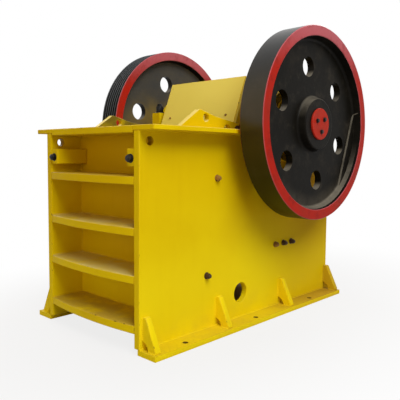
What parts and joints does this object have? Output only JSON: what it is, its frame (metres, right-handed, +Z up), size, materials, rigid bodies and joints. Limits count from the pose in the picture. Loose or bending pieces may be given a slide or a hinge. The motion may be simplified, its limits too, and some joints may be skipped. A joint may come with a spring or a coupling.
{
  "type": "jaw crusher",
  "caption": "Single-toggle jaw crusher: ribbed box frame on base flanges, swing jaw on an eccentric shaft between a plain flywheel and a grooved belt sheave.",
  "frame": {"origin": "on the ground, at the middle of the foundation bolt pattern", "axes": "+X along the shaft towards the plain flywheel, -Y to the ribbed front, +Z up"},
  "size_m": [1.555, 1.982, 1.937],
  "materials": {
    "frame_paint": "gloss yellow paint, chipped",
    "guard_paint": "yellow paint, sunlit and dusty",
    "wheel_paint": "black paint, red rim faces",
    "cap_paint": "red paint",
    "liner_steel": "worn cast manganese steel",
    "jaw_casting": "yellow paint over a casting",
    "bare_steel": "oiled steel"
  },
  "bodies": {
    "frame": {"side_plate_left": "frame_paint", "top_flange_left": "frame_paint", "base_flange_left": "frame_paint", "gussets_left": "frame_paint", "lifting_lug_left": "frame_paint", "clamp_bar_left": "frame_paint", "bearing_housing_left": "frame_paint", "bearing_cap_left": "frame_paint", "bearing_cover_left": "frame_paint", "guide_bar_left": "frame_paint", "cheek_plates_left": "liner_steel", "side_plate_right": "frame_paint", "top_flange_right": "frame_paint", "base_flange_right": "frame_paint", "gussets_right": "frame_paint", "lifting_lug_right": "frame_paint", "clamp_bar_right": "frame_paint", "bearing_housing_right": "frame_paint", "bearing_cap_right": "frame_paint", "bearing_cover_right": "frame_paint", "guide_bar_right": "frame_paint", "cheek_plates_right": "liner_steel", "front_wall": "frame_paint", "front_top_plate": "frame_paint", "front_rib_1": "frame_paint", "front_rib_2": "frame_paint", "front_rib_3": "frame_paint", "front_rib_4": "frame_paint", "rear_wall": "frame_paint", "rear_ribs": "frame_paint", "spring_bracket": "frame_paint", "adjusting_block": "frame_paint", "jaw_support_bar": "frame_paint", "fixed_jaw_plate": "liner_steel", "toggle_plate": "jaw_casting", "adjusting_shims": "bare_steel", "tension_spring": "bare_steel"},
    "shaft": {"eccentric_shaft": "bare_steel", "flywheel": "wheel_paint", "belt_sheave": "wheel_paint", "flywheel_cap": "cap_paint", "belt_sheave_cap": "cap_paint"},
    "swing_jaw": {"swing_jaw": "jaw_casting", "swing_jaw_plate": "liner_steel", "guard_plate": "guard_paint", "jaw_wedge": "liner_steel", "head_covers": "jaw_casting", "tension_rod": "bare_steel", "rod_pin": "bare_steel"}
  },
  "joints": [
    {"name": "shaft_spin", "type": "hinge", "parent": "frame", "child": "shaft", "pos_m": [0, 0.375, 1.301], "axis": [1, 0, 0], "continuous": true},
    {"name": "jaw_swing", "type": "hinge", "parent": "shaft", "child": "swing_jaw", "pos_m": [0, 0.36372, 1.3051], "axis": [1, 0, 0], "continuous": true}
  ],
  "couplings": [
    {"joint": "jaw_swing", "follows": "shaft_spin", "ratio": -1}
  ]
}
